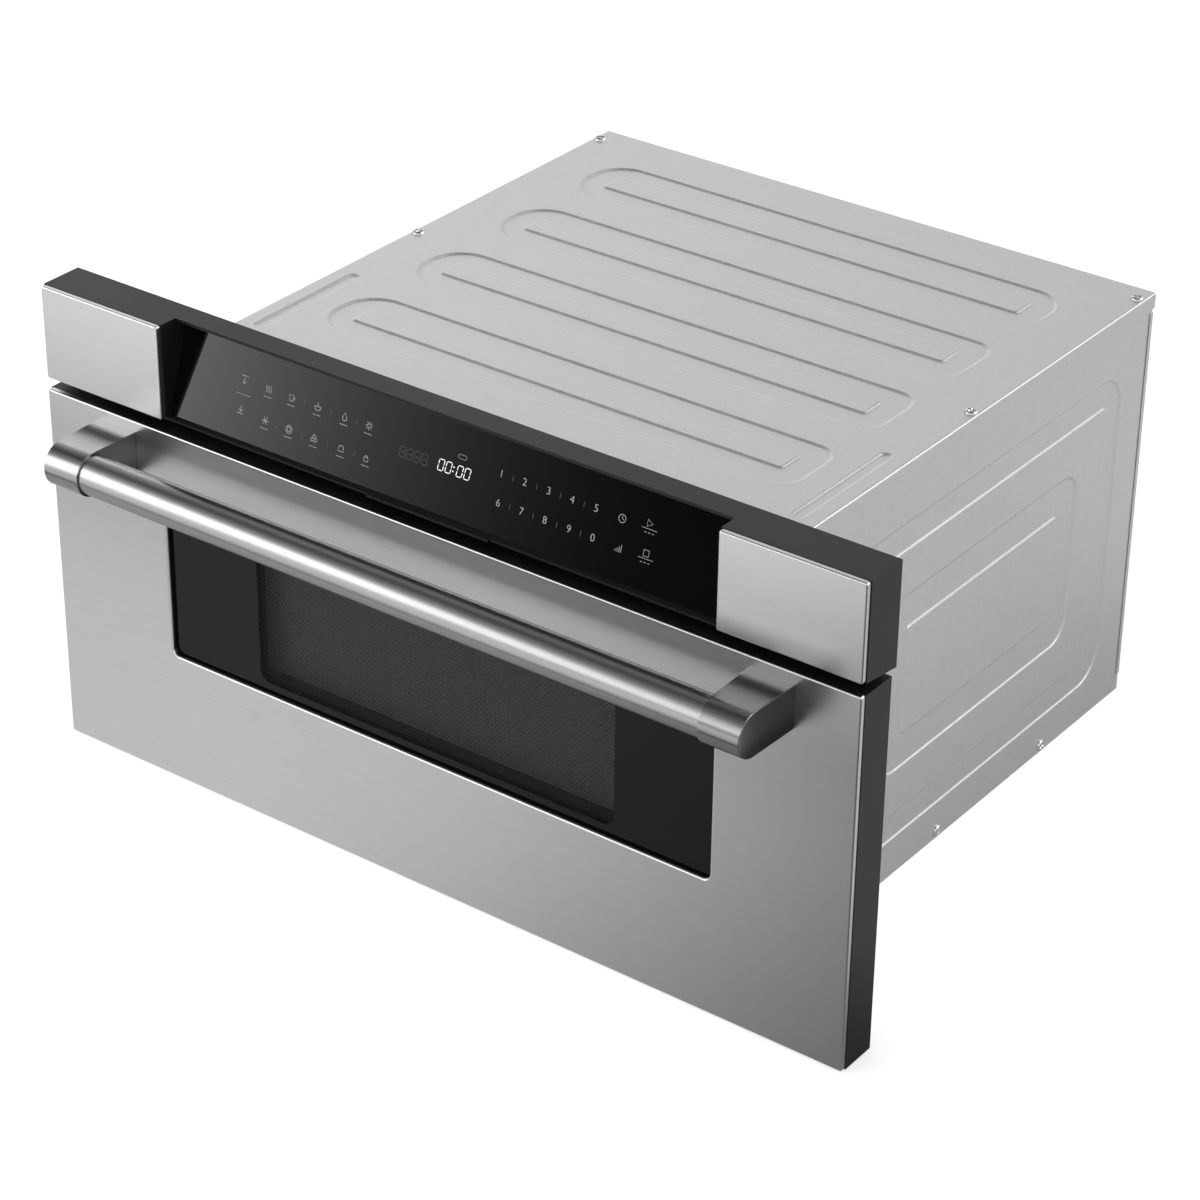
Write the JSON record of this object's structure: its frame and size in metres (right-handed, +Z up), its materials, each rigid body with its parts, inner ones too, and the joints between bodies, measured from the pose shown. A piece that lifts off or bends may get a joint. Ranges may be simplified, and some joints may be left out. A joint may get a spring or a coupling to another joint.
{
  "type": "microwave drawer",
  "caption": "Built-in microwave drawer: boxed cabinet with a touch panel, and a powered drawer on telescopic slides with a windowed door and a bar handle.",
  "frame": {"origin": "middle of the whole part's footprint, on the surface that the cabinet stands on", "axes": "+Z up; the user stands on the -Y side, where the drawer comes out; +X to the user's right"},
  "size_m": [0.76, 0.6644, 0.4054],
  "materials": {
    "stainless": "horizontally brushed stainless steel",
    "black_moulding": "satin charcoal moulding",
    "touch_glass": "gloss black touch panel",
    "window_glass": "dark tinted glass",
    "clear_glass": "clear glass",
    "display": "dark display",
    "circuit": "circuit board with relays",
    "galvanised": "zinc-coated sheet with a fine spangle",
    "screw_steel": "plated screws",
    "oven_enamel": "grey enamel",
    "perforated_steel": "perforated screen, black enamel",
    "ceramic": "pale glass-ceramic plate",
    "mica": "pale moulded cover",
    "chromed": "satin chrome",
    "duct_metal": "plain sheet",
    "duct_plastic": "pale grey moulding",
    "iron": "varnished laminations and winding",
    "slide_steel": "zinc-plated rolled steel",
    "gear_plastic": "white engineering plastic",
    "gearmotor": "dark gearmotor housing",
    "lamp": "lamp holder with its bulb",
    "seal": "dark seal"
  },
  "bodies": {
    "cabinet": {"control_housing": "black_moulding", "control_tile_left": "stainless", "control_tile_right": "stainless", "control_glass": "touch_glass", "sensor_lip": "black_moulding", "display_module": "display", "control_board": "circuit", "mounting_flange": "galvanised", "cabinet_cover": "galvanised", "cabinet_side_left": "galvanised", "cabinet_side_right": "galvanised", "cabinet_back": "galvanised", "cabinet_base": "galvanised", "cover_screws": "screw_steel", "oven_cavity": "oven_enamel", "waveguide": "duct_metal", "stirrer_motor": "duct_plastic", "stirrer_cover": "mica", "magnetron": "duct_metal", "fan_housing": "duct_plastic", "fan_motor": "iron", "high_voltage_transformer": "iron", "capacitor": "duct_metal", "line_filter": "circuit", "air_duct": "duct_plastic", "cavity_lamp": "lamp", "thermal_cutouts": "duct_plastic", "power_gland": "black_moulding", "rail_outer_left": "slide_steel", "rail_outer_right": "slide_steel", "drive_motor": "gearmotor", "drive_bracket": "galvanised", "interlock_brackets": "galvanised", "interlock_switches": "duct_plastic"},
    "drawer": {"door_skin": "stainless", "door_frame": "black_moulding", "window_glass": "window_glass", "window_screen": "perforated_steel", "choke_panel": "oven_enamel", "inner_window": "clear_glass", "door_seal": "seal", "handle_bar": "chromed", "handle_bracket_left": "chromed", "handle_bracket_right": "chromed", "handle_screws": "screw_steel", "drawer_body": "oven_enamel", "tray": "ceramic", "rail_inner_left": "slide_steel", "rail_inner_right": "slide_steel", "drawer_front_bracket": "slide_steel", "drawer_cross_member": "slide_steel", "drive_rack": "gear_plastic", "latch_hooks": "gear_plastic"},
    "slide_left": {"rail_middle_left": "slide_steel"},
    "slide_right": {"rail_middle_right": "slide_steel"},
    "pinion": {"drive_pinion": "gear_plastic"},
    "fan": {"fan_wheel": "duct_plastic"},
    "stirrer": {"stirrer": "duct_metal"},
    "lever_left": {"interlock_lever_left": "gear_plastic"},
    "lever_right": {"interlock_lever_right": "gear_plastic"}
  },
  "joints": [
    {"name": "drawer_slide", "type": "slide", "parent": "cabinet", "child": "drawer", "axis": [0, -1, 0], "range_m": [0, 0.38]},
    {"name": "slide_left_travel", "type": "slide", "parent": "cabinet", "child": "slide_left", "axis": [0, -1, 0], "range_m": [0, 0.19]},
    {"name": "slide_right_travel", "type": "slide", "parent": "cabinet", "child": "slide_right", "axis": [0, -1, 0], "range_m": [0, 0.19]},
    {"name": "pinion_turn", "type": "hinge", "parent": "cabinet", "child": "pinion", "pos_m": [0.125, -0.2033, 0.054], "axis": [1, 0, 0], "range_deg": [0, 1815]},
    {"name": "fan_turn", "type": "hinge", "parent": "cabinet", "child": "fan", "pos_m": [-0.15, 0.2642, 0.215], "axis": [0, 1, 0], "continuous": true},
    {"name": "stirrer_turn", "type": "hinge", "parent": "cabinet", "child": "stirrer", "pos_m": [0, -0.0038, 0.3], "axis": [0, 0, 1], "continuous": true},
    {"name": "lever_left_turn", "type": "hinge", "parent": "cabinet", "child": "lever_left", "pos_m": [-0.241, -0.1898, 0.248], "axis": [-1, 0, 0], "range_deg": [0, 8], "stiffness_Nm_per_rad": 0.02},
    {"name": "lever_right_turn", "type": "hinge", "parent": "cabinet", "child": "lever_right", "pos_m": [0.241, -0.1898, 0.248], "axis": [-1, 0, 0], "range_deg": [0, 8], "stiffness_Nm_per_rad": 0.02}
  ],
  "couplings": [
    {"joint": "slide_left_travel", "follows": "drawer_slide", "ratio": 0.5},
    {"joint": "slide_right_travel", "follows": "drawer_slide", "ratio": 0.5},
    {"joint": "pinion_turn", "follows": "drawer_slide", "rad_per_m": 83.333}
  ]
}
